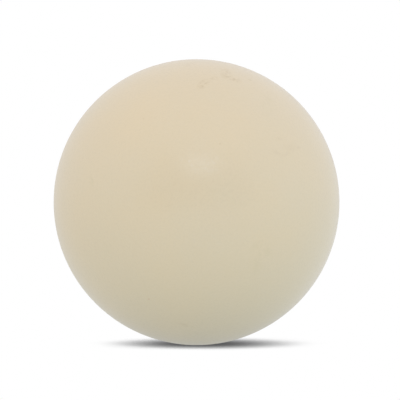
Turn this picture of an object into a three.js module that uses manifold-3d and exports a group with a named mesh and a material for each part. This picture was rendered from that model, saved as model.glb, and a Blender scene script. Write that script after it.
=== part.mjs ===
// A mini pilates ball: an inflated skin of soft PVC, a valve seat moulded into the skin at the back, and the
// stopper plug that closes the valve. Sizes are in millimetres and +Z is up. The origin is the middle of the
// patch that the ball stands on. The valve points along +Y, straight away from the viewer.
import * as THREE from "three";
import { mergeVertices } from "three/addons/utils/BufferGeometryUtils.js";
import Module from "manifold-3d";

// Ball skin
const ballDiameter = 230; // inflated, nominal 9 in
const skinThickness = 0.8; // rotationally moulded in one piece
const contactPatchRadius = 10; // pressed flat by the ball's own weight

// Stopper plug
const plugHeadRadius = 5.8;
const plugHeadThickness = 1.5; // at the middle, under the domed top
const plugHeadSink = 0.1; // how far the top lies below the ball's surface
const headEdgeRound = 0.35;
const headUndercut = 0.55; // bevel under the rim, so that a fingernail can lift it
const ribCount = 3;
const ribHeight = 0.45;
const ribStep = 0.35; // length of the steep side that faces the head
const shankFillet = 0.5; // under the head
const tipReach = 2.5; // how far the tip passes the end of the bore, into the air
const tipTaperLength = 3;
const tipTaper = 0.8; // how much the radius falls over that length
const coreWall = 1.25; // around the moulded core hole in the tip
const coreFloor = 6; // solid length between the head and the core hole

// Valve seat
const boreRadius = 2.9;
const boreLength = 16; // from the dish floor to the end of the neck
const boreMouthBevel = 0.9;
const neckWall = 2.6;
const neckDraft = 0.7; // how much thinner the wall is at the end of the neck
const neckEndRound = 0.6;
const nailGap = 1.4; // between the plug's head and the wall of the dish
const rimWidth = 1.8; // of the collar around the dish
const rimRound = 0.4;
const flangeReach = 6.5; // under the skin, past the collar
const flangeThickness = 1.2;

// Clearances
const bondGap = 0.3; // weld line between the skin and the valve seat
const headSeatGap = 0.3; // under the plug's head
const plugFitGap = 0.15; // between the plug's ribs and the bore

// Facets
const skinSides = 56;
const valveSides = 32;
const roundSteps = 3; // in a small round edge

// Places that follow from the sizes. Heights along the valve are measured from the ball's centre.
const ballRadius = ballDiameter / 2;
const centreHeight = Math.sqrt(ballRadius ** 2 - contactPatchRadius ** 2);
const ribRadius = boreRadius - plugFitGap;
const shankRadius = ribRadius - ribHeight;
const dishDepth = plugHeadSink + plugHeadThickness + headSeatGap;
const dishFloor = ballRadius - dishDepth;
const headUnderside = dishFloor + headSeatGap;
const dishRadius = plugHeadRadius + nailGap;
const collarRadius = dishRadius + rimWidth;

const wasm = await Module();
wasm.setup();

// A closed geometry as a solid that can be joined and cut.
function solidOf(geometry) {
  const bare = geometry.clone();
  bare.deleteAttribute("normal");
  bare.deleteAttribute("uv");
  const merged = mergeVertices(bare);
  const corners = merged.index.array;
  const triVerts = [];
  for (let i = 0; i < corners.length; i += 3) {
    const [a, b, c] = corners.subarray(i, i + 3);
    if (a !== b && b !== c && c !== a) triVerts.push(a, b, c);
  }
  return new wasm.Manifold(
    new wasm.Mesh({
      numProp: 3,
      vertProperties: merged.attributes.position.array,
      triVerts: new Uint32Array(triVerts),
    }),
  );
}

// A solid as a geometry with flat faces.
function geometryOf(solid) {
  const mesh = solid.getMesh();
  const geometry = new THREE.BufferGeometry();
  geometry.setAttribute("position", new THREE.BufferAttribute(mesh.vertProperties, mesh.numProp));
  geometry.setIndex(new THREE.BufferAttribute(mesh.triVerts, 1));
  geometry.computeVertexNormals();
  return geometry;
}

// The height on a sphere around the ball's centre at a distance from the axis.
function heightOnSphere(sphereRadius, distance) {
  return Math.sqrt(sphereRadius ** 2 - distance ** 2);
}

// Adds an arc of a sphere around the ball's centre to a profile, between two distances from the axis.
function followSphere(profile, sphereRadius, from, to) {
  const start = Math.acos(from / sphereRadius);
  const end = Math.acos(to / sphereRadius);
  profile.absarc(0, 0, sphereRadius, start, end, end < start);
}

// Turns a profile around +Y.
function turned(profile, sides) {
  return new THREE.LatheGeometry(profile.getPoints(roundSteps), sides);
}

// A ball around the origin with its underside flat at floorHeight, turned around +Z. One ring of corners lies
// on the equator, so the ball is as wide as its radius says.
function flattenedBall(radius, floorHeight) {
  const flatRadius = Math.sqrt(radius ** 2 - floorHeight ** 2);
  const lowest = Math.asin(floorHeight / radius);
  const quarter = Math.round(skinSides / 4);
  const points = [new THREE.Vector2(0, floorHeight), new THREE.Vector2(flatRadius, floorHeight)];
  for (let i = 1; i < 2 * quarter; i++) {
    const latitude = i < quarter ? lowest * (1 - i / quarter) : (Math.PI / 2) * (i / quarter - 1);
    points.push(new THREE.Vector2(radius * Math.cos(latitude), radius * Math.sin(latitude)));
  }
  points.push(new THREE.Vector2(0, radius));
  return new THREE.LatheGeometry(points, skinSides).rotateX(Math.PI / 2);
}

// The skin is an even shell, flat where it stands, with a round opening for the collar of the valve seat.
function ballSkin() {
  const outside = solidOf(flattenedBall(ballRadius, -centreHeight));
  const air = solidOf(flattenedBall(ballRadius - skinThickness, skinThickness - centreHeight));
  const openingRadius = collarRadius + bondGap;
  const opening = new THREE.CylinderGeometry(openingRadius, openingRadius, ballRadius, valveSides);
  opening.translate(0, ballRadius, 0);
  return geometryOf(outside.subtract(air).subtract(solidOf(opening)));
}

// The seat is one turned piece. Its collar fills the skin's opening, its flange lies under the skin, and its
// neck reaches into the ball and grips the plug.
function valveSeat() {
  const facetDepth = Math.cos(Math.PI / skinSides) ** 2; // the middle of a facet against its corners
  const flangeOuter = (ballRadius - skinThickness) * facetDepth - bondGap;
  const flangeInner = flangeOuter - flangeThickness;
  const flangeRadius = collarRadius + flangeReach;
  const bodyBottom = flangeInner - dishDepth;
  const neckRadius = boreRadius + neckWall;
  const neckEndRadius = neckRadius - neckDraft;
  const neckEnd = dishFloor - boreLength;
  const rimInner = dishRadius + rimRound;
  const rimOuter = collarRadius - rimRound;

  const profile = new THREE.Path();
  profile.moveTo(boreRadius, neckEnd);
  profile.lineTo(neckEndRadius - neckEndRound, neckEnd);
  profile.quadraticCurveTo(neckEndRadius, neckEnd, neckEndRadius, neckEnd + neckEndRound);
  profile.lineTo(neckRadius, bodyBottom);
  profile.lineTo(collarRadius, bodyBottom);
  profile.lineTo(collarRadius, heightOnSphere(flangeInner, collarRadius));
  followSphere(profile, flangeInner, collarRadius, flangeRadius);
  followSphere(profile, flangeOuter, flangeRadius, collarRadius);
  const rimTop = heightOnSphere(ballRadius, rimOuter);
  profile.lineTo(collarRadius, rimTop - rimRound);
  profile.quadraticCurveTo(collarRadius, rimTop, rimOuter, rimTop);
  followSphere(profile, ballRadius, rimOuter, rimInner);
  const lipTop = heightOnSphere(ballRadius, rimInner);
  profile.quadraticCurveTo(dishRadius, lipTop, dishRadius, lipTop - rimRound);
  profile.lineTo(dishRadius, dishFloor);
  profile.lineTo(boreRadius + boreMouthBevel, dishFloor);
  profile.lineTo(boreRadius, dishFloor - boreMouthBevel);
  profile.lineTo(boreRadius, neckEnd);
  return turned(profile, valveSides);
}

// The plug is one turned piece: a flat head flush with the ball, a shank with ribs that ramp towards the tip,
// and a core hole up the middle from the tip.
function valvePlug() {
  const shankEnd = headUnderside - headSeatGap - boreLength - tipReach;
  const tipRadius = shankRadius - tipTaper;
  const coreRadius = shankRadius - coreWall;
  const taperStart = shankEnd + tipTaperLength;
  const ribbedTop = headUnderside - shankFillet - boreMouthBevel;
  const ribPitch = (ribbedTop - taperStart) / ribCount;
  const topRadius = ballRadius - plugHeadSink;

  const profile = new THREE.Path();
  profile.moveTo(0, headUnderside - coreFloor);
  profile.lineTo(coreRadius, headUnderside - coreFloor);
  profile.lineTo(coreRadius, shankEnd);
  profile.lineTo(tipRadius, shankEnd);
  profile.lineTo(shankRadius, taperStart);
  for (let i = 0; i < ribCount; i++) {
    const ribTop = taperStart + (i + 1) * ribPitch;
    profile.lineTo(ribRadius, ribTop - ribStep);
    profile.lineTo(shankRadius, ribTop);
  }
  profile.lineTo(shankRadius, headUnderside - shankFillet);
  profile.quadraticCurveTo(shankRadius, headUnderside, shankRadius + shankFillet, headUnderside);
  profile.lineTo(plugHeadRadius - headUndercut, headUnderside);
  profile.lineTo(plugHeadRadius, headUnderside + headUndercut);
  const edgeTop = heightOnSphere(topRadius, plugHeadRadius - headEdgeRound);
  profile.lineTo(plugHeadRadius, edgeTop - headEdgeRound);
  profile.quadraticCurveTo(plugHeadRadius, edgeTop, plugHeadRadius - headEdgeRound, edgeTop);
  followSphere(profile, topRadius, plugHeadRadius - headEdgeRound, 0);
  return turned(profile, valveSides);
}

function piece(name, geometry, material) {
  const mesh = new THREE.Mesh(geometry, new THREE.MeshStandardMaterial(material));
  mesh.name = name;
  return mesh;
}

const ball = new THREE.Group();
ball.position.z = centreHeight;
ball.add(piece("ball_skin", ballSkin(), { color: 0xdccdb1, roughness: 0.45, metalness: 0 }));
ball.add(piece("valve_seat", valveSeat(), { color: 0xd6c7aa, roughness: 0.5, metalness: 0 }));
ball.add(piece("valve_plug", valvePlug(), { color: 0xf1efe8, roughness: 0.35, metalness: 0 }));

const pilatesBall = new THREE.Group();
pilatesBall.add(ball);

export default pilatesBall;
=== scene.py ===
# A mini pilates ball on a white studio floor: the inflated skin, the valve seat in its back and the stopper
# plug that closes the valve. Sizes are in metres, and the valve's axis runs along +Y.
import math

import bmesh
import bpy
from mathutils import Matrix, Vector


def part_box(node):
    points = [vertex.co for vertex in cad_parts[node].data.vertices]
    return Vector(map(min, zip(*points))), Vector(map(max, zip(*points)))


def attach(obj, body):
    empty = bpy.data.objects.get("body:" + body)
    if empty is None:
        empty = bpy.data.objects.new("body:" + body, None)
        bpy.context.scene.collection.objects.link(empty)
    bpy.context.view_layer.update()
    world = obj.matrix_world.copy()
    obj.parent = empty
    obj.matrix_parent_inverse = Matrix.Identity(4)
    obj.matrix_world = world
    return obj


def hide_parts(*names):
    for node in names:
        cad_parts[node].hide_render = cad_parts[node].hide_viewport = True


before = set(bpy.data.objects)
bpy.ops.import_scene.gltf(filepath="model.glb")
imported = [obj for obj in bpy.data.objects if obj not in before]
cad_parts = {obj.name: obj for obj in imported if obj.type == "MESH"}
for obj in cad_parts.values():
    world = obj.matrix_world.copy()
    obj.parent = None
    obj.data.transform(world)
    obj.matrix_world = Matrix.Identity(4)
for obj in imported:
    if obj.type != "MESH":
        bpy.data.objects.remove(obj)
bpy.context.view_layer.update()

# Ball skin
# One hollow shell of soft PVC, cast as a paste in a hot, turning two-part mould. It has no seam, only the
# faint raised line where the mould halves met, and it is kept round by air and flat where it stands.
skin_low, skin_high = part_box("ball_skin")
ball_radius = (skin_high.x - skin_low.x) / 2
centre_height = skin_high.z - ball_radius
ball_centre = (0, 0, centre_height)
skin_wall = 0.0008
skin_fineness = 6  # halvings of the cube that the ball starts as

mould_line_width = 0.0011
mould_line_height = 0.00013

valve_patch_width = 0.034  # square of the ball's grid that makes way for rings around the valve
valve_ring_radius = 0.0195
boss_radius = 0.0158  # the skin stands a little proud over the seat's flange
boss_height = 0.00035
boss_slope = ((1.12, 0), (1.04, 0.3), (1, 0.8), (0.94, 1), (0.78, 1))  # shares of that radius and height
lip_share = 0.6  # how much of the boss's height is left at the lip of the opening
opening_radius = 0.00915
opening_round = 0.0003

underside_rings = (0.8, 0.7, 0.6, 0.5)  # each one's radius as a share of the ring around it
smooth_angle = math.radians(40)  # sharper edges stay sharp


def choose(kind, test):
    """Selects the verts, edges or faces of the open mesh that pass a test, and nothing else."""
    bpy.ops.mesh.select_all(action="DESELECT")
    bpy.ops.mesh.select_mode(type=kind)
    mesh = bmesh.from_edit_mesh(bpy.context.object.data)
    parts = {"VERT": mesh.verts, "EDGE": mesh.edges, "FACE": mesh.faces}[kind]
    for part in parts:
        if test(part):
            part.select_set(True)
    bmesh.update_edit_mesh(bpy.context.object.data)


def apply_modifier(kind, **settings):
    """Adds a modifier to the active object with its settings, and applies it."""
    modifier = bpy.context.object.modifiers.new(kind.title(), kind)
    for name, value in settings.items():
        setattr(modifier, name, value)
    bpy.ops.object.modifier_apply(modifier=modifier.name)


def height_on_ball(distance, sink=0):
    """The place along the valve's axis, on the ball or a little under it, at a distance from the axis."""
    return math.sqrt((ball_radius - sink) ** 2 - distance**2)


ring = {"radius": 0, "height": 0}  # the selected ring of edges around the valve's axis


def ring_to(radius, height):
    """Extrudes the selected ring of edges to another radius and place along the valve's axis."""
    bpy.ops.mesh.extrude_edges_move()
    scale = radius / ring["radius"]
    bpy.ops.transform.resize(value=(scale, 1, scale), center_override=ball_centre)
    bpy.ops.transform.translate(value=(0, height - ring["height"], 0))
    ring.update(radius=radius, height=height)


def close_ring():
    """Closes the selected ring of edges with a fan of faces."""
    bpy.ops.mesh.extrude_edges_move()
    bpy.ops.mesh.merge(type="CENTER")


def finish_mesh(gap):
    """Merges points that are closer than a gap, turns all faces outwards and leaves edit mode."""
    bpy.ops.mesh.select_all(action="SELECT")
    bpy.ops.mesh.remove_doubles(threshold=gap)
    bpy.ops.mesh.normals_make_consistent(inside=False)
    bpy.ops.object.mode_set(mode="OBJECT")


bpy.ops.object.select_all(action="DESELECT")
bpy.ops.mesh.primitive_cube_add(size=ball_radius, location=ball_centre)
skin = bpy.context.object
skin.name = "inflated_skin"
apply_modifier("SUBSURF", levels=skin_fineness, render_levels=skin_fineness)
apply_modifier("CAST", cast_type="SPHERE", factor=1, use_radius_as_size=False, size=ball_radius)
bpy.ops.object.transform_apply(location=True, rotation=True, scale=True)

bpy.ops.object.mode_set(mode="EDIT")

# The mould line is the ball's great circle halfway between the front and the valve. A bevel lays five rings
# along it: the inner three rise by half of its height, and the middle one then rises by the other half.
on_line = skin_wall / 100  # a point this near to a plane lies on it
inner_rings = mould_line_width * 0.4  # and this near to the line are the inner three
swell = 1 + mould_line_height / 2 / ball_radius
choose("EDGE", lambda edge: all(abs(vert.co.y) < on_line for vert in edge.verts))
bpy.ops.mesh.bevel(offset=mould_line_width / 2, segments=4, affect="EDGES")
for near in (inner_rings, on_line):
    choose("VERT", lambda vert: abs(vert.co.y) < near)
    bpy.ops.transform.resize(value=(swell, swell, swell), center_override=ball_centre)

# At the back, a square of the grid is taken out, and its edge is drawn into a round ring.
half = valve_patch_width / 2
choose(
    "FACE",
    lambda face: face.calc_center_median().y > 0
    and abs(face.calc_center_median().x) < half
    and abs(face.calc_center_median().z - centre_height) < half,
)
bpy.ops.mesh.delete(type="FACE")
bpy.ops.mesh.select_mode(type="EDGE")
bpy.ops.mesh.select_non_manifold()
mesh = bmesh.from_edit_mesh(skin.data)
rim = [vert for vert in mesh.verts if vert.select]
rim.sort(key=lambda vert: math.atan2(vert.co.z - centre_height, vert.co.x))
first = math.atan2(rim[0].co.z - centre_height, rim[0].co.x)
for i, vert in enumerate(rim):
    turn = first + 2 * math.pi * i / len(rim)
    vert.co.x = valve_ring_radius * math.cos(turn)
    vert.co.y = height_on_ball(valve_ring_radius)
    vert.co.z = centre_height + valve_ring_radius * math.sin(turn)
bmesh.update_edit_mesh(skin.data)

# Rings lead from there over the flange of the seat and round the lip of the opening.
ring.update(radius=valve_ring_radius, height=height_on_ball(valve_ring_radius))
for radius_share, height_share in boss_slope:
    boss_ring = boss_radius * radius_share
    ring_to(boss_ring, height_on_ball(boss_ring) + boss_height * height_share)
lip_radius = opening_radius + opening_round
lip_height = height_on_ball(lip_radius) + boss_height * lip_share
round_middle = opening_round * 0.3  # how far inside its corner the lip's round passes
ring_to(lip_radius + opening_round * 2, lip_height + boss_height * (1 - lip_share) / 2)
ring_to(lip_radius, lip_height)
ring_to(opening_radius + round_middle, lip_height - round_middle)
ring_to(opening_radius, lip_height - opening_round)
ring_to(opening_radius, lip_height - skin_wall)

# The underside is cut level with the floor and closed with flat rings.
bpy.ops.mesh.select_all(action="SELECT")
bpy.ops.mesh.bisect(plane_co=(0, 0, 0), plane_no=(0, 0, 1), clear_inner=True, threshold=on_line)
for shrink in underside_rings:
    bpy.ops.mesh.extrude_edges_move()
    bpy.ops.transform.resize(value=(shrink, shrink, 1), center_override=(0, 0, 0))
close_ring()

finish_mesh(skin_wall / 20)
apply_modifier("SOLIDIFY", thickness=skin_wall, offset=-1, use_even_offset=True)
bpy.ops.object.shade_smooth_by_angle(angle=smooth_angle)


def linear(hex_colour):
    """An sRGB hex colour as linear red, green, blue and full alpha."""
    values = [int(hex_colour[i : i + 2], 16) / 255 for i in (1, 3, 5)]
    return [v / 12.92 if v <= 0.04045 else ((v + 0.055) / 1.055) ** 2.4 for v in values] + [1]


def add_node(tree, kind, inputs=None, **settings):
    """Adds a node with its settings. An input is a number, a colour, or an output to link from."""
    made = tree.nodes.new(kind)
    for name, value in settings.items():
        setattr(made, name, value)
    for name, value in (inputs or {}).items():
        if isinstance(value, bpy.types.NodeSocket):
            tree.links.new(value, made.inputs[name])
        else:
            made.inputs[name].default_value = value
    return made


def start_material(name):
    """Starts an empty material. Gives the material, its node tree and the place on the piece."""
    material = bpy.data.materials.new(name)
    material.use_nodes = True
    material.node_tree.nodes.clear()
    place = add_node(material.node_tree, "ShaderNodeTexCoord").outputs["Object"]
    return material, material.node_tree, place


# Satin soft PVC: an even cream with a faint cloudiness in its pigment and a fine grain from the blasted
# mould. It has broad soft reflections, a tighter waxy sheen that sparkles on the grain, and the first marks
# of use.
pvc_cream, tree, place = start_material("soft_pvc_cream_satin")

cloud_size = 0.055  # pigment that settled a little unevenly
cloud = add_node(
    tree, "ShaderNodeTexNoise", {"Vector": place, "Scale": 1 / cloud_size, "Detail": 3, "Roughness": 0.5}
)
colour = add_node(
    tree,
    "ShaderNodeMix",
    {"Factor": cloud.outputs["Fac"], "A": linear("#e1cfb0"), "B": linear("#dbceb5")},
    data_type="RGBA",
)
mottle_size = 0.0026  # pigment and plasticiser, seen only up close
mottle = add_node(
    tree, "ShaderNodeTexNoise", {"Vector": place, "Scale": 1 / mottle_size, "Detail": 4, "Roughness": 0.65}
)
mottle_share = add_node(
    tree,
    "ShaderNodeMapRange",
    {"Value": mottle.outputs["Fac"], "From Min": 0.35, "From Max": 0.7, "To Max": 0.16},
)
colour = add_node(
    tree,
    "ShaderNodeMix",
    {"Factor": mottle_share.outputs["Result"], "A": colour.outputs["Result"], "B": linear("#d8c6a2")},
    data_type="RGBA",
)

# Marks of use, each given by its place on the front, right of and above the ball's middle, its half width and
# half height there, how far it falls to the right in degrees, and its strength. Scuffs are clusters of small
# specks, smudges are soft and blotchy, and smears and spots are plain.
mark_depth = 0.03  # front to back, so that no mark comes out on the far side
mark_core = 0.2  # share of a mark's width and height that has its full strength
speck_size = 0.003
speckle = add_node(
    tree, "ShaderNodeTexNoise", {"Vector": place, "Scale": 1 / speck_size, "Detail": 3, "Roughness": 0.6}
)
specks = add_node(
    tree, "ShaderNodeMapRange", {"Value": speckle.outputs["Fac"], "From Min": 0.4, "From Max": 0.7}
)
blotch_size = 0.006
haze = add_node(
    tree, "ShaderNodeTexNoise", {"Vector": place, "Scale": 1 / blotch_size, "Detail": 4, "Roughness": 0.6}
)
blotches = add_node(
    tree, "ShaderNodeMapRange", {"Value": haze.outputs["Fac"], "From Min": 0.42, "From Max": 0.62}
)
scuff = (specks.outputs["Result"], linear("#b79e70"))
smudge = (blotches.outputs["Result"], linear("#b4ad78"))
smear = (1, linear("#b6a084"))
spot = (1, linear("#b79e70"))
red_spot = (1, linear("#c57e53"))
marks = (
    (scuff, 0.0054, 0.0937, 0.0068, 0.0038, -37, 0.53),
    (scuff, 0.0130, 0.0978, 0.0048, 0.0024, -15, 0.28),
    (scuff, 0.0236, 0.1021, 0.0070, 0.0054, 57, 0.45),
    (scuff, 0.0308, 0.0973, 0.0060, 0.0020, 17, 0.50),
    (scuff, 0.0426, 0.0972, 0.0028, 0.0022, 0, 0.30),
    (scuff, -0.0058, 0.1095, 0.0058, 0.0019, -11, 0.28),
    (scuff, -0.0094, -0.0954, 0.0090, 0.0021, 15, 0.18),
    (smudge, 0.0561, 0.0772, 0.0070, 0.0130, 0, 0.08),
    (smudge, 0.0503, -0.0351, 0.0095, 0.0090, 0, 0.14),
    (smudge, 0.0461, -0.0480, 0.0070, 0.0080, 0, 0.08),
    (smudge, -0.0818, 0.0176, 0.0024, 0.0062, 0, 0.24),
    (smear, 0.0650, 0.0507, 0.0039, 0.0014, 8, 0.09),
    (smear, 0.0737, 0.0438, 0.0084, 0.0052, -8, 0.06),
    (smear, 0.0800, 0.0438, 0.0021, 0.0019, 0, 0.09),
    (smear, 0.0744, 0.0429, 0.0019, 0.0018, 0, 0.04),
    (smear, 0.0625, 0.0397, 0.0060, 0.0019, 28, 0.09),
    (smear, 0.0692, 0.0382, 0.0053, 0.0017, -25, 0.09),
    (spot, 0.0180, 0.0468, 0.0011, 0.0011, 0, 0.19),
    (spot, -0.0413, 0.0664, 0.0010, 0.0010, 0, 0.14),
    (red_spot, -0.0372, -0.0744, 0.0010, 0.0010, 0, 0.23),
)
for (texture, dirt), right, up, half_width, half_height, slant, strength in marks:
    front = -math.sqrt(ball_radius**2 - right**2 - up**2)
    from_mark = add_node(
        tree,
        "ShaderNodeMapping",
        {
            "Vector": place,
            "Location": (right, front, centre_height + up),
            "Rotation": (0, math.radians(slant), 0),
            "Scale": (half_width, mark_depth, half_height),
        },
        vector_type="TEXTURE",
    )
    reach = add_node(tree, "ShaderNodeVectorMath", {0: from_mark.outputs["Vector"]}, operation="LENGTH")
    soft_edge = add_node(
        tree,
        "ShaderNodeMapRange",
        {"Value": reach.outputs["Value"], "From Min": mark_core, "To Min": strength, "To Max": 0},
    )
    broken = add_node(
        tree, "ShaderNodeMath", {0: soft_edge.outputs["Result"], 1: texture}, operation="MULTIPLY"
    )
    colour = add_node(
        tree,
        "ShaderNodeMix",
        {"Factor": broken.outputs["Value"], "A": colour.outputs["Result"], "B": dirt},
        data_type="RGBA",
    )

grain_size = 0.0017  # drawn several times coarser than the mould's grit, so that it shows
grain = add_node(tree, "ShaderNodeTexNoise", {"Vector": place, "Scale": 1 / grain_size, "Detail": 0})
ripple_size = 0.009  # the paste's slight orange peel
ripple = add_node(
    tree, "ShaderNodeTexNoise", {"Vector": place, "Scale": 1 / ripple_size, "Detail": 1, "Roughness": 0.4}
)
ripple_bump = add_node(
    tree, "ShaderNodeBump", {"Height": ripple.outputs["Fac"], "Strength": 0.3, "Distance": 0.0001}
)
grain_bump = add_node(
    tree,
    "ShaderNodeBump",
    {
        "Height": grain.outputs["Fac"],
        "Strength": 1,
        "Distance": 0.0002,
        "Normal": ripple_bump.outputs["Normal"],
    },
)
glints = add_node(
    tree,
    "ShaderNodeMapRange",
    {"Value": grain.outputs["Fac"], "From Min": 0.48, "From Max": 0.7, "To Min": 0.1, "To Max": 0.6},
)
even_wax = 0.22  # towards the outline, where the grains run together
low_angle = add_node(tree, "ShaderNodeLayerWeight", {"Blend": 0.5})
wax = add_node(
    tree,
    "ShaderNodeMix",
    {"Factor": low_angle.outputs["Facing"], "A": glints.outputs["Result"], "B": even_wax},
)
sheen = add_node(
    tree,
    "ShaderNodeMapRange",
    {"Value": cloud.outputs["Fac"], "From Min": 0.3, "From Max": 0.7, "To Min": 0.38, "To Max": 0.43},
)
surface = add_node(
    tree,
    "ShaderNodeBsdfPrincipled",
    {
        "Base Color": colour.outputs["Result"],
        "Roughness": sheen.outputs["Result"],
        "IOR": 1.45,
        "Normal": ripple_bump.outputs["Normal"],
        "Coat Weight": wax.outputs["Result"],
        "Coat Roughness": 0.12,
        "Coat IOR": 1.5,
        "Coat Normal": grain_bump.outputs["Normal"],
    },
)
add_node(tree, "ShaderNodeOutputMaterial", {"Surface": surface.outputs["BSDF"]})
skin.data.materials.append(pvc_cream)

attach(skin, "ball")
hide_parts("ball_skin")

# Valve seat
# A soft PVC moulding that lies in the ball's mould while the skin is cast, so the skin is welded over its
# flange. Its collar comes flush through the skin, with a dish for the plug's head, and its neck grips the
# plug's ribs.
seat_low, seat_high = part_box("valve_seat")
seat_sides = 96
flange_radius = seat_high.x
neck_end = seat_low.y
flange_sink = 0.00146  # how far the flange's outside lies under the ball's surface
flange_thickness = 0.0012
collar_radius = 0.009
collar_depth = 0.0019  # of the body under the flange
rim_round = 0.0004
dish_radius = 0.0072
dish_floor = 0.1131  # from the ball's centre
dish_corner = 0.00035
bore_radius = 0.0029
bore_mouth_bevel = 0.0009
neck_radius = 0.0055
neck_end_radius = 0.0048
neck_end_round = 0.0006
neck_fillet = 0.0008


def start_ring(name, sides, radius, height):
    """Starts a turned piece as one ring of edges around the valve's axis, open for editing."""
    bpy.ops.object.select_all(action="DESELECT")
    bpy.ops.mesh.primitive_circle_add(
        vertices=sides, radius=radius, location=(0, height, centre_height), rotation=(math.pi / 2, 0, 0)
    )
    bpy.context.object.name = name
    bpy.ops.object.transform_apply(location=True, rotation=True, scale=True)
    bpy.ops.object.mode_set(mode="EDIT")
    bpy.ops.mesh.select_mode(type="EDGE")
    bpy.ops.mesh.select_all(action="SELECT")
    ring.update(radius=radius, height=height)
    return bpy.context.object


def ring_round(corner, end, steps=4):
    """Carries the ring round a corner, on a curve from where it is to the end."""
    start = (ring["radius"], ring["height"])
    for step in range(1, steps + 1):
        share = step / steps
        weights = ((1 - share) ** 2, 2 * share * (1 - share), share**2)
        points = zip(start, corner, end)
        ring_to(*(sum(w * v for w, v in zip(weights, values)) for values in points))


def ring_along_ball(radius, sink, steps=4):
    """Carries the ring along a sphere a little under the ball's surface."""
    start = ring["radius"]
    for step in range(1, steps + 1):
        reached = start + (radius - start) * step / steps
        ring_to(reached, height_on_ball(reached, sink))


seat = start_ring("valve_seat_moulding", seat_sides, bore_radius, neck_end)
body_bottom = height_on_ball(0, flange_sink + flange_thickness) - collar_depth
ring_to(neck_end_radius - neck_end_round, neck_end)
ring_round((neck_end_radius, neck_end), (neck_end_radius, neck_end + neck_end_round))
ring_to(neck_radius, body_bottom - neck_fillet)
ring_round((neck_radius, body_bottom), (neck_radius + neck_fillet, body_bottom))
ring_to(collar_radius - rim_round, body_bottom)
ring_round((collar_radius, body_bottom), (collar_radius, body_bottom + rim_round))
ring_to(collar_radius, height_on_ball(collar_radius, flange_sink + flange_thickness))
flange_round = flange_thickness / 4
ring_along_ball(flange_radius - flange_round, flange_sink + flange_thickness)
flange_bottom = height_on_ball(flange_radius, flange_sink + flange_thickness)
flange_top = height_on_ball(flange_radius, flange_sink)
ring_round((flange_radius, flange_bottom), (flange_radius, flange_bottom + flange_round))
ring_to(flange_radius, flange_top - flange_round)
ring_round((flange_radius, flange_top), (flange_radius - flange_round, flange_top))
ring_along_ball(collar_radius, flange_sink)
rim_top = height_on_ball(collar_radius - rim_round)
ring_to(collar_radius, rim_top - rim_round)
ring_round((collar_radius, rim_top), (collar_radius - rim_round, rim_top))
ring_along_ball(dish_radius + rim_round, 0)
lip_top = height_on_ball(dish_radius + rim_round)
ring_round((dish_radius, lip_top), (dish_radius, lip_top - rim_round))
ring_to(dish_radius, dish_floor + dish_corner)
ring_round((dish_radius, dish_floor), (dish_radius - dish_corner, dish_floor))
mouth_radius = bore_radius + bore_mouth_bevel
mouth_end = dish_floor - bore_mouth_bevel
mouth_round = bore_mouth_bevel / 4
ring_to(mouth_radius + mouth_round, dish_floor)
ring_round((mouth_radius, dish_floor), (mouth_radius - mouth_round, dish_floor - mouth_round))
ring_to(bore_radius + mouth_round, mouth_end + mouth_round)
ring_round((bore_radius, mouth_end), (bore_radius, mouth_end - mouth_round))
ring_to(bore_radius, neck_end)
finish_mesh(dish_corner / 50)
bpy.ops.object.shade_smooth_by_angle(angle=smooth_angle)

# Moulded soft PVC: the skin's cream, a shade deeper, with the fine rings that a turned mould leaves. The
# cream is darker in the corner of the dish, next to its wall.
pvc_seat, tree, place = start_material("soft_pvc_cream_moulded")
on_axis = add_node(
    tree, "ShaderNodeMapping", {"Vector": place, "Location": (0, 0, -centre_height), "Scale": (1, 0, 1)}
)
from_axis = add_node(tree, "ShaderNodeVectorMath", {0: on_axis.outputs["Vector"]}, operation="LENGTH")
fleck_size = 0.004
fleck = add_node(
    tree, "ShaderNodeTexNoise", {"Vector": place, "Scale": 1 / fleck_size, "Detail": 4, "Roughness": 0.6}
)
cream = add_node(
    tree,
    "ShaderNodeMix",
    {"Factor": fleck.outputs["Fac"], "A": linear("#d9c8a6"), "B": linear("#d2c3a4")},
    data_type="RGBA",
)
# The cream goes darker, broken up by the flecks, in a narrow band inside the wall of the dish.
corner_dark_width = dish_corner * 4  # from the wall of the dish inwards
corner_darkening = add_node(
    tree,
    "ShaderNodeMapRange",
    {
        "Value": from_axis.outputs["Value"],
        "From Min": dish_radius - corner_dark_width,
        "From Max": dish_radius,
        "To Max": 0.55,
    },
)
in_dish = add_node(
    tree,
    "ShaderNodeMapRange",
    {
        "Value": from_axis.outputs["Value"],
        "From Min": dish_radius,
        "From Max": dish_radius + rim_round,
        "To Min": 1,
        "To Max": 0,
    },
)
corner_dark_share = add_node(
    tree,
    "ShaderNodeMath",
    {0: corner_darkening.outputs["Result"], 1: in_dish.outputs["Result"]},
    operation="MULTIPLY",
)
broken_corner_dark = add_node(
    tree, "ShaderNodeMath", {0: corner_dark_share.outputs["Value"], 1: fleck.outputs["Fac"]}, operation="MULTIPLY"
)
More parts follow.
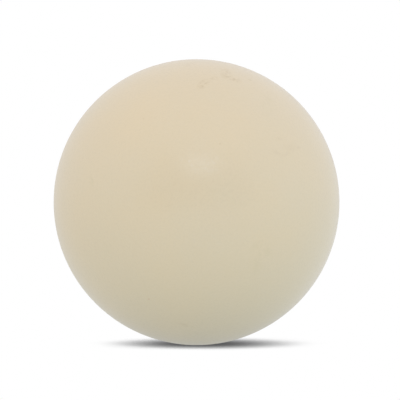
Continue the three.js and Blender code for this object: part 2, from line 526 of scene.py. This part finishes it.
# Mixes in the darker cream at the corner of the dish.
seat_colour = add_node(
    tree,
    "ShaderNodeMix",
    {"Factor": broken_corner_dark.outputs["Value"], "A": cream.outputs["Result"], "B": linear("#a39678")},
    data_type="RGBA",
)
turning_mark = 0.0004  # spacing of the rings, drawn coarser than they are so that they show
wave_spacing = math.pi / 10  # of a wave texture at a scale of 1
turning = add_node(
    tree,
    "ShaderNodeTexWave",
    {
        "Vector": on_axis.outputs["Vector"],
        "Scale": wave_spacing / turning_mark,
        "Distortion": 0.4,
        "Detail": 1,
    },
    wave_type="RINGS",
    rings_direction="SPHERICAL",
)
turned = add_node(
    tree, "ShaderNodeBump", {"Height": turning.outputs["Fac"], "Strength": 0.12, "Distance": 0.00002}
)
surface = add_node(
    tree,
    "ShaderNodeBsdfPrincipled",
    {
        "Base Color": seat_colour.outputs["Result"],
        "Roughness": 0.42,
        "IOR": 1.53,
        "Normal": turned.outputs["Normal"],
    },
)
add_node(tree, "ShaderNodeOutputMaterial", {"Surface": surface.outputs["BSDF"]})
seat.data.materials.append(pvc_seat)

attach(seat, "ball")
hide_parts("valve_seat")

# Valve plug
# A stopper of natural polyethylene, injection moulded in one shot. Its flat head lies flush in the dish,
# three ribs that ramp towards the tip hold it in the bore, and a core pin has left a hole up the middle of
# the shank.
plug_low, plug_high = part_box("valve_plug")
plug_sides = 96
head_radius = plug_high.x
tip_end = plug_low.y
head_sink = 0.0001  # how far the head's top lies under the ball's surface
head_seat_gap = 0.0003
head_underside = dish_floor + head_seat_gap
head_round = 0.00035
head_undercut = 0.00055
rib_count = 3
rib_radius = 0.00275
rib_step = 0.00035  # the steep side, towards the head
rib_crest = 0.00012
shank_radius = 0.0023
shank_fillet = 0.0005
tip_radius = 0.0015
tip_round = 0.0002
tip_taper_length = 0.003
core_radius = 0.00105
core_solid = 0.006  # length between the head and the core hole
core_floor = head_underside - core_solid
gate_radius = 0.0011  # shallow dimple where the plastic was let into the mould
gate_floor_radius = 0.000825
gate_depth = 0.00012
nub_radius = 0.00035  # what is left of the plastic in the gate
nub_height = 0.00009

plug = start_ring("stopper_plug", plug_sides, core_radius, core_floor)
ring_to(core_radius, tip_end + tip_round / 2)
ring_round((core_radius, tip_end), (core_radius + tip_round / 2, tip_end), steps=2)
ring_to(tip_radius - tip_round, tip_end)
ring_round((tip_radius, tip_end), (tip_radius + tip_round / 4, tip_end + tip_round))
taper_start = tip_end + tip_taper_length
ring_to(shank_radius, taper_start)
ribbed_top = head_underside - shank_fillet - bore_mouth_bevel
rib_pitch = (ribbed_top - taper_start) / rib_count
for rib in range(1, rib_count + 1):
    rib_end = taper_start + rib * rib_pitch
    crest = rib_end - rib_step
    ring_to(rib_radius - rib_crest / 4, crest - rib_crest * 2)
    ring_round((rib_radius, crest - rib_crest / 2), (rib_radius - rib_crest, crest + rib_crest))
    ring_to(shank_radius, rib_end)
ring_to(shank_radius, head_underside - shank_fillet)
ring_round((shank_radius, head_underside), (shank_radius + shank_fillet, head_underside))
ring_to(head_radius - head_undercut, head_underside)
ring_to(head_radius, head_underside + head_undercut)
edge_top = height_on_ball(head_radius - head_round, head_sink)
ring_to(head_radius, edge_top - head_round)
ring_round((head_radius, edge_top), (head_radius - head_round, edge_top))
ring_along_ball(gate_radius, head_sink, steps=6)
gate_floor = height_on_ball(0, head_sink) - gate_depth
ring_round((gate_radius * 0.85, ring["height"]), (gate_floor_radius, gate_floor))
ring_to(nub_radius * 1.2, gate_floor)
ring_round((nub_radius, gate_floor), (nub_radius * 0.9, gate_floor + nub_height * 0.8))
ring_to(nub_radius * 0.5, gate_floor + nub_height)
close_ring()
choose("EDGE", lambda edge: edge.is_boundary)
close_ring()
finish_mesh(gate_depth / 50)
bpy.ops.object.shade_smooth_by_angle(angle=smooth_angle)

# Natural polyethylene: milky, waxy and a little see-through where it is thin, with faint flow lines.
polyethylene, tree, place = start_material("natural_polyethylene_moulded")
flow_size = 0.0022
flow = add_node(
    tree,
    "ShaderNodeTexNoise",
    {"Vector": place, "Scale": 1 / flow_size, "Detail": 2, "Roughness": 0.5, "Distortion": 0.8},
)
milky = add_node(
    tree,
    "ShaderNodeMix",
    {"Factor": flow.outputs["Fac"], "A": linear("#f3f1ea"), "B": linear("#eae8df")},
    data_type="RGBA",
)
waxy = add_node(
    tree,
    "ShaderNodeMapRange",
    {"Value": flow.outputs["Fac"], "From Min": 0.3, "From Max": 0.7, "To Min": 0.32, "To Max": 0.4},
)
flow_bump = add_node(
    tree, "ShaderNodeBump", {"Height": flow.outputs["Fac"], "Strength": 0.15, "Distance": 0.00004}
)
surface = add_node(
    tree,
    "ShaderNodeBsdfPrincipled",
    {
        "Base Color": milky.outputs["Result"],
        "Roughness": waxy.outputs["Result"],
        "IOR": 1.51,
        "Subsurface Weight": 0.35,
        "Subsurface Radius": (0.0012, 0.0011, 0.0009),
        "Subsurface Scale": 1,
        "Normal": flow_bump.outputs["Normal"],
    },
)
add_node(tree, "ShaderNodeOutputMaterial", {"Surface": surface.outputs["BSDF"]})
plug.data.materials.append(polyethylene)

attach(plug, "plug")
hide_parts("valve_plug")

# Floor
# White paper on a light table, which lights the ball from below. To the camera it is the white of the
# background and greys only close under the ball, and in reflections it is nearly as white.
floor_size = 12
table_light = 0.805
shadow_lean = {"X": -0.12, "Y": -0.22, "Z": 1}  # the paper looks for open room a little left and forward
shadow_end = 0.458  # share of open room at which the paper is white again
shadow_fall = 1.7  # the paper darkens faster than that share falls
shadow_floor = 0.085  # brightness of the paper right under the ball
glow_end = 0.9  # share of open room at which the paper has all of its light again
dimmest_glow = 0.735  # how much of its light the paper keeps under the ball
glow_slope = 0.04  # how much brighter the table is a ball's width to the right of the ball
bpy.ops.object.select_all(action="DESELECT")
bpy.ops.mesh.primitive_plane_add(size=floor_size, location=(0, 0, 0))
floor = bpy.context.object
floor.name = "floor"
paper, tree, place = start_material("white_paper_on_light_table")
lean = add_node(tree, "ShaderNodeCombineXYZ", shadow_lean)
open_sky = add_node(
    tree, "ShaderNodeAmbientOcclusion", {"Distance": 1, "Normal": lean.outputs["Vector"]}, samples=16
)
open_share = add_node(
    tree, "ShaderNodeMapRange", {"Value": open_sky.outputs["AO"], "From Max": shadow_end}
)
deepened = add_node(
    tree, "ShaderNodeMath", {0: open_share.outputs["Result"], 1: shadow_fall}, operation="POWER"
)
shade = add_node(
    tree, "ShaderNodeMapRange", {"Value": deepened.outputs["Value"], "To Min": shadow_floor}
)
seen = add_node(
    tree, "ShaderNodeEmission", {"Color": linear("#ffffff"), "Strength": shade.outputs["Result"]}
)
open_room = add_node(tree, "ShaderNodeAmbientOcclusion", {"Distance": 1}, samples=16)
under_ball = add_node(
    tree,
    "ShaderNodeMapRange",
    {"Value": open_room.outputs["AO"], "From Max": glow_end, "To Min": dimmest_glow},
)
across = add_node(tree, "ShaderNodeSeparateXYZ", {"Vector": place})
to_the_right = add_node(
    tree,
    "ShaderNodeMapRange",
    {"Value": across.outputs["X"], "From Min": -2 * ball_radius, "From Max": 2 * ball_radius},
)
lit_side = add_node(
    tree,
    "ShaderNodeMapRange",
    {"Value": to_the_right.outputs["Result"], "To Min": 1 - glow_slope, "To Max": 1 + glow_slope},
)
glow = add_node(
    tree,
    "ShaderNodeMath",
    {0: under_ball.outputs["Result"], 1: lit_side.outputs["Result"]},
    operation="MULTIPLY",
)
reflected_paper = add_node(
    tree, "ShaderNodeEmission", {"Color": linear("#eef3fb"), "Strength": glow.outputs["Value"]}
)
table_glow = add_node(
    tree, "ShaderNodeMath", {0: glow.outputs["Value"], 1: table_light}, operation="MULTIPLY"
)
table_colour = add_node(
    tree,
    "ShaderNodeMix",
    {"Factor": to_the_right.outputs["Result"], "A": linear("#fafffc"), "B": linear("#f3ffff")},
    data_type="RGBA",
)
table = add_node(
    tree,
    "ShaderNodeEmission",
    {"Color": table_colour.outputs["Result"], "Strength": table_glow.outputs["Value"]},
)
rays = add_node(tree, "ShaderNodeLightPath")
lighting = add_node(
    tree,
    "ShaderNodeMixShader",
    {
        "Fac": rays.outputs["Is Diffuse Ray"],
        1: reflected_paper.outputs["Emission"],
        2: table.outputs["Emission"],
    },
)
paper_mix = add_node(
    tree,
    "ShaderNodeMixShader",
    {"Fac": rays.outputs["Is Camera Ray"], 1: lighting.outputs["Shader"], 2: seen.outputs["Emission"]},
)
add_node(tree, "ShaderNodeOutputMaterial", {"Surface": paper_mix.outputs["Shader"]})
paper.cycles.emission_sampling = "NONE"
floor.data.materials.append(paper)

# Camera
# A long lens just above the ball's middle, straight in front. Its zoom and shift put the ball where it lies
# in the photograph.
camera_distance = 2.5
camera_height_angle = math.radians(0.9)
picture_pixels = 400
ball_pixels = {"x": 196.53, "y": 202.18, "radius": 142.93}  # the ball's middle and outline in the picture


def aim(thing, place, target):
    """Puts a lamp or the camera at a place, looking at a target."""
    thing.location = place
    thing.rotation_euler = (Vector(target) - Vector(place)).to_track_quat("-Z", "Y").to_euler()


bpy.ops.object.camera_add()
camera = bpy.context.object
camera.name = "camera"
camera_place = (
    0,
    -camera_distance * math.cos(camera_height_angle),
    centre_height + camera_distance * math.sin(camera_height_angle),
)
aim(camera, camera_place, ball_centre)
ball_angle = math.asin(ball_radius / camera_distance)
picture_share = ball_pixels["radius"] / picture_pixels
camera.data.lens = camera.data.sensor_width * picture_share / math.tan(ball_angle)
camera.data.shift_x = 0.5 - ball_pixels["x"] / picture_pixels
camera.data.shift_y = ball_pixels["y"] / picture_pixels - 0.5
bpy.context.scene.camera = camera
bpy.context.scene.view_settings.view_transform = "Standard"

# Light
# A white room with a baffled soft lamp high in front, a bluish white wall on the right, and a small lamp that
# is seen only as a faint glint on the ball. In reflections the room is dark around the camera.
room_light = 1.08
overhead_share = 0.825  # how bright the room is overhead, against the horizon
camera_heading = Vector((0, -1, -0.05)).normalized()  # from the ball to just below the camera
camera_dark = 0.05  # brightness of the reflected room around the camera
dark_reach = math.radians(22)  # as dark as that up to this angle from the camera
dark_end = math.radians(60)  # and white from this one
world = bpy.data.worlds.new("white_room")
bpy.context.scene.world = world
world.use_nodes = True
tree = world.node_tree
tree.nodes.clear()
heading = add_node(tree, "ShaderNodeTexCoord").outputs["Generated"]
towards_camera = add_node(
    tree, "ShaderNodeVectorMath", {0: heading, 1: camera_heading}, operation="DOT_PRODUCT"
)
brightness = add_node(
    tree,
    "ShaderNodeMapRange",
    {
        "Value": towards_camera.outputs["Value"],
        "From Min": math.cos(dark_end),
        "From Max": math.cos(dark_reach),
        "To Min": 1,
        "To Max": camera_dark,
    },
    interpolation_type="SMOOTHSTEP",
)
heading_parts = add_node(tree, "ShaderNodeSeparateXYZ", {"Vector": heading})
wash = add_node(
    tree,
    "ShaderNodeMapRange",
    {"Value": heading_parts.outputs["Z"], "To Min": room_light, "To Max": room_light * overhead_share},
)
side = add_node(
    tree, "ShaderNodeMapRange", {"Value": heading_parts.outputs["X"], "From Min": -1, "From Max": 1}
)
tint = add_node(
    tree,
    "ShaderNodeMix",
    {"Factor": side.outputs["Result"], "A": linear("#fffbf6"), "B": linear("#f9faff")},
    data_type="RGBA",
)
room = add_node(
    tree, "ShaderNodeBackground", {"Color": tint.outputs["Result"], "Strength": wash.outputs["Result"]}
)
reflected_room = add_node(
    tree, "ShaderNodeBackground", {"Color": linear("#f3f7ff"), "Strength": brightness.outputs["Result"]}
)
backdrop = add_node(tree, "ShaderNodeBackground", {"Color": linear("#ffffff"), "Strength": 1})
rays = add_node(tree, "ShaderNodeLightPath")
in_reflections = add_node(
    tree,
    "ShaderNodeMath",
    {0: rays.outputs["Is Glossy Ray"], 1: rays.outputs["Is Transmission Ray"]},
    operation="MAXIMUM",
)
off_camera = add_node(
    tree,
    "ShaderNodeMixShader",
    {
        "Fac": in_reflections.outputs["Value"],
        1: room.outputs["Background"],
        2: reflected_room.outputs["Background"],
    },
)
surroundings = add_node(
    tree,
    "ShaderNodeMixShader",
    {
        "Fac": rays.outputs["Is Camera Ray"],
        1: off_camera.outputs["Shader"],
        2: backdrop.outputs["Background"],
    },
)
add_node(tree, "ShaderNodeOutputWorld", {"Surface": surroundings.outputs["Shader"]})
world.cycles.sampling_method = "NONE"


def add_lamp(name, place, width, height, power, colour):
    """Adds a flat lamp that faces the ball."""
    bpy.ops.object.select_all(action="DESELECT")
    bpy.ops.object.light_add(type="AREA")
    lamp = bpy.context.object
    lamp.name = name
    lamp.data.shape = "RECTANGLE"
    lamp.data.size = width
    lamp.data.size_y = height
    lamp.data.energy = power
    lamp.data.color = linear(colour)[:3]
    aim(lamp, place, ball_centre)
    return lamp


softbox = add_lamp(
    "overhead_softbox", place=(0, -1.25, 1.0), width=1.4, height=1.0, power=2.3, colour="#ffffff"
)
softbox.visible_glossy = False
side_wall = add_lamp(
    "white_wall_on_the_right", place=(1.2, 0.15, 0.15), width=1.2, height=0.5, power=1.05, colour="#cfe2ff"
)
side_wall.visible_glossy = False
front_lamp = add_lamp(
    "small_front_lamp", place=(0.07, -1.31, 0.86), width=0.56, height=0.14, power=1.7, colour="#dbe8ff"
)
front_lamp.visible_diffuse = False
